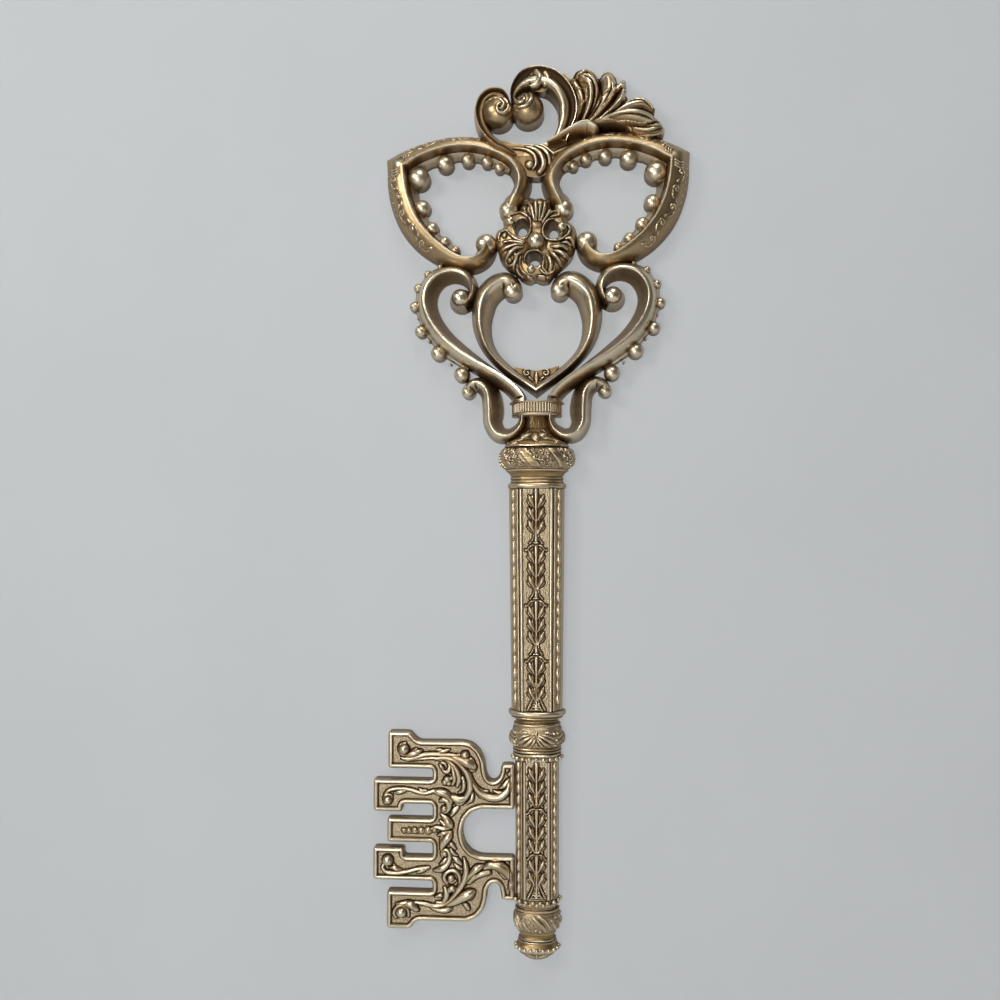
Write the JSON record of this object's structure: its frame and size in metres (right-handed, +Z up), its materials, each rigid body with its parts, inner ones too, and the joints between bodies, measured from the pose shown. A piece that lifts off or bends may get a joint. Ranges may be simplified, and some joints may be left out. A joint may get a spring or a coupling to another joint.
{
  "type": "decorative wall key",
  "caption": "Ornamental wall key with an open scroll bow, a crest with a leaf, a pierced rosette, a ringed shaft and a toothed bit, to hang flat on a wall.",
  "frame": {"origin": "middle of the hanger plate's eye on the wall plane, behind the rosette's top leaf", "axes": "+Z up along the key, +X to the right seen from the front, the front faces -Y and the back lies on y = 0"},
  "size_m": [0.2735, 0.0356, 0.7653],
  "materials": {
    "gold_scroll": "satin champagne gold paint over moulded plastic",
    "gold_bead": "satin champagne gold paint, brighter where rubbed",
    "gold_relief": "antique gold paint, darker in the recesses",
    "gold_moulding": "satin champagne gold paint on turned mouldings",
    "zinc_steel": "zinc plated"
  },
  "bodies": {
    "root": {"left_lobe_frame": "gold_scroll", "right_lobe_frame": "gold_scroll", "left_lobe_beads": "gold_bead", "right_lobe_beads": "gold_bead", "crest_keystone": "gold_relief", "crest_small_scroll": "gold_scroll", "crest_c_scroll": "gold_scroll", "crest_bosses": "gold_bead", "crest_stem": "gold_relief", "crest_leaf": "gold_relief", "rosette_body": "gold_relief", "rosette_leaves": "gold_relief", "rosette_stud": "gold_bead", "rosette_pearls": "gold_bead", "left_heart_scroll": "gold_scroll", "right_heart_scroll": "gold_scroll", "left_volute_ball": "gold_bead", "right_volute_ball": "gold_bead", "left_edge_beads": "gold_bead", "right_edge_beads": "gold_bead", "inner_horseshoe": "gold_scroll", "horseshoe_patch": "gold_relief", "left_s_scroll": "gold_scroll", "right_s_scroll": "gold_scroll", "scroll_dowels": "zinc_steel", "binding_strap": "gold_moulding", "neck_calyx": "gold_moulding", "bulb_knop": "gold_moulding", "bulb_bands": "gold_relief", "upper_rings": "gold_moulding", "upper_shaft": "gold_scroll", "upper_vine": "gold_relief", "upper_rope_strips": "gold_bead", "middle_collar": "gold_moulding", "middle_knop": "gold_moulding", "upper_bead_ring": "gold_bead", "lower_shaft": "gold_scroll", "lower_vine": "gold_relief", "lower_rope_strips": "gold_bead", "lower_bead_ring": "gold_bead", "end_knop": "gold_moulding", "finial_button": "gold_moulding", "bit_plate": "gold_scroll", "bit_foliage": "gold_relief", "bit_pearl_row": "gold_bead", "hanger_plate": "zinc_steel", "hanger_screws": "zinc_steel"}
  },
  "joints": []
}
